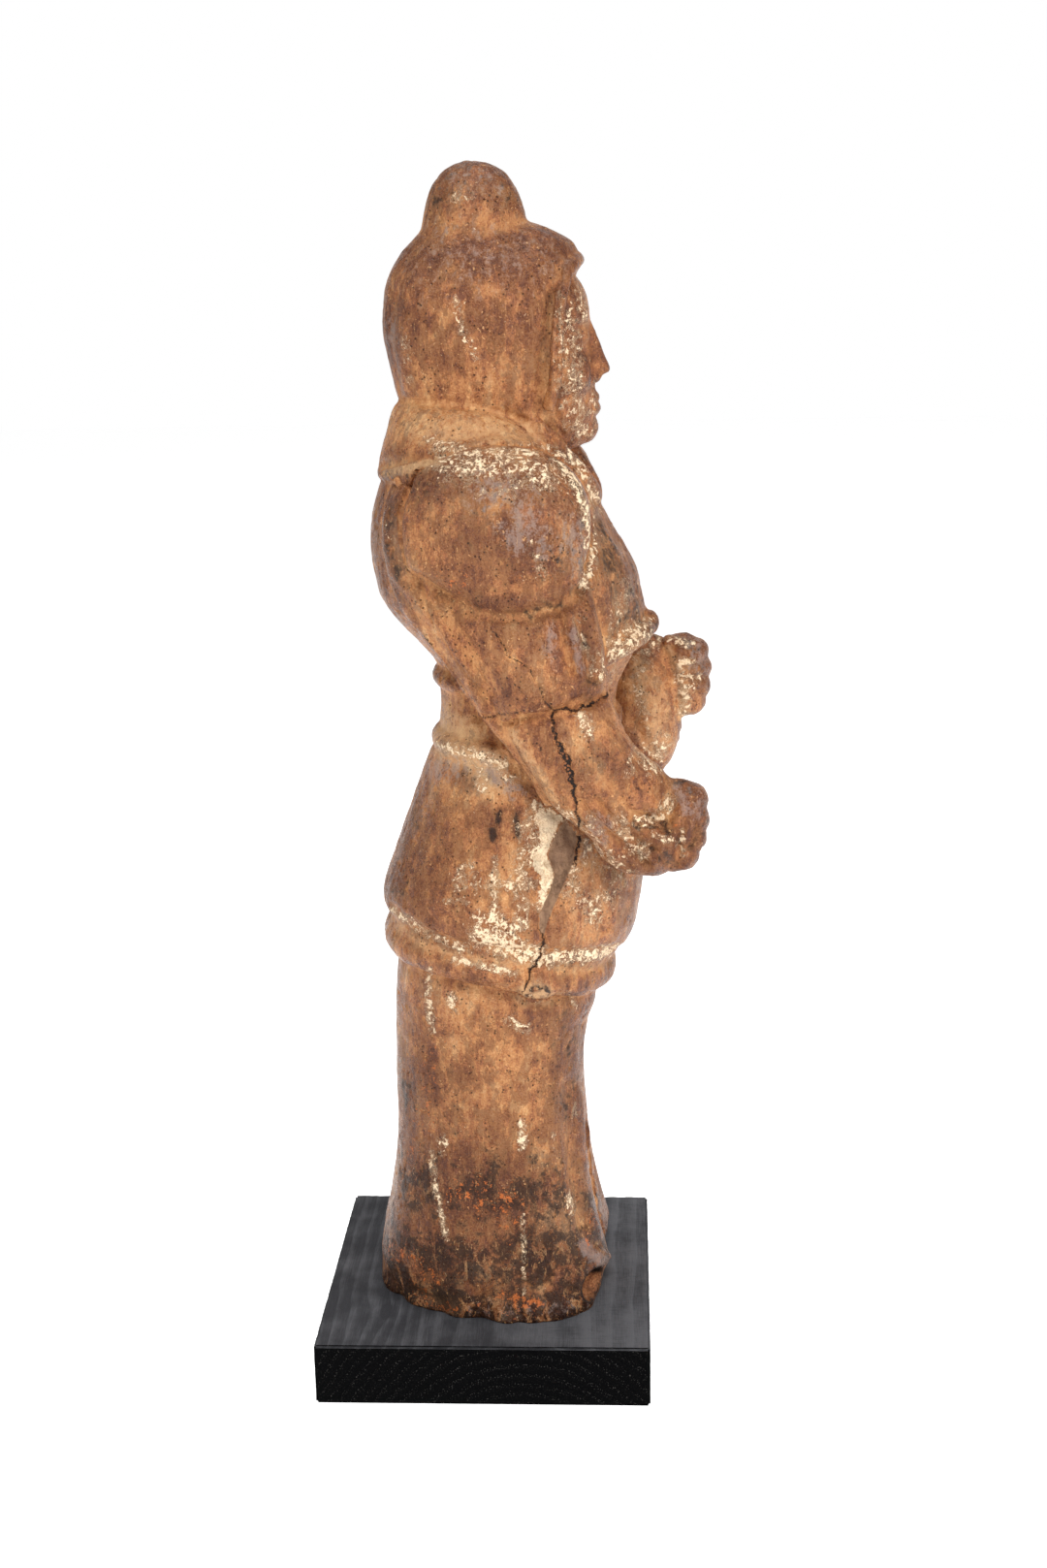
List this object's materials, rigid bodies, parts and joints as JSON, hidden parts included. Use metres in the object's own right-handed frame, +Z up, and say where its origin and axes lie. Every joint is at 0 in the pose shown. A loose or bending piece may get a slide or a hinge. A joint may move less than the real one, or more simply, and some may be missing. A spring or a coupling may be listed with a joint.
{
  "type": "tomb guardian figure",
  "caption": "Standing hooded tomb guardian of worn painted earthenware, belted tunic and raised fists, on a square black wooden block.",
  "frame": {"origin": "centre of the wooden block's underside", "axes": "+Z up, the figure faces -Y, its right hand is on the -X side"},
  "size_m": [0.2557, 0.2913, 0.8542],
  "materials": {
    "fired_clay": "worn brown earthenware with umber burnishing, cream slip traces and orange rubbed clay, satin to matte",
    "black_stained_wood": "black-stained sawn softwood, faint grain, satin"
  },
  "bodies": {
    "root": {"guardian_figure": "fired_clay", "wood_plinth": "black_stained_wood"}
  },
  "joints": []
}
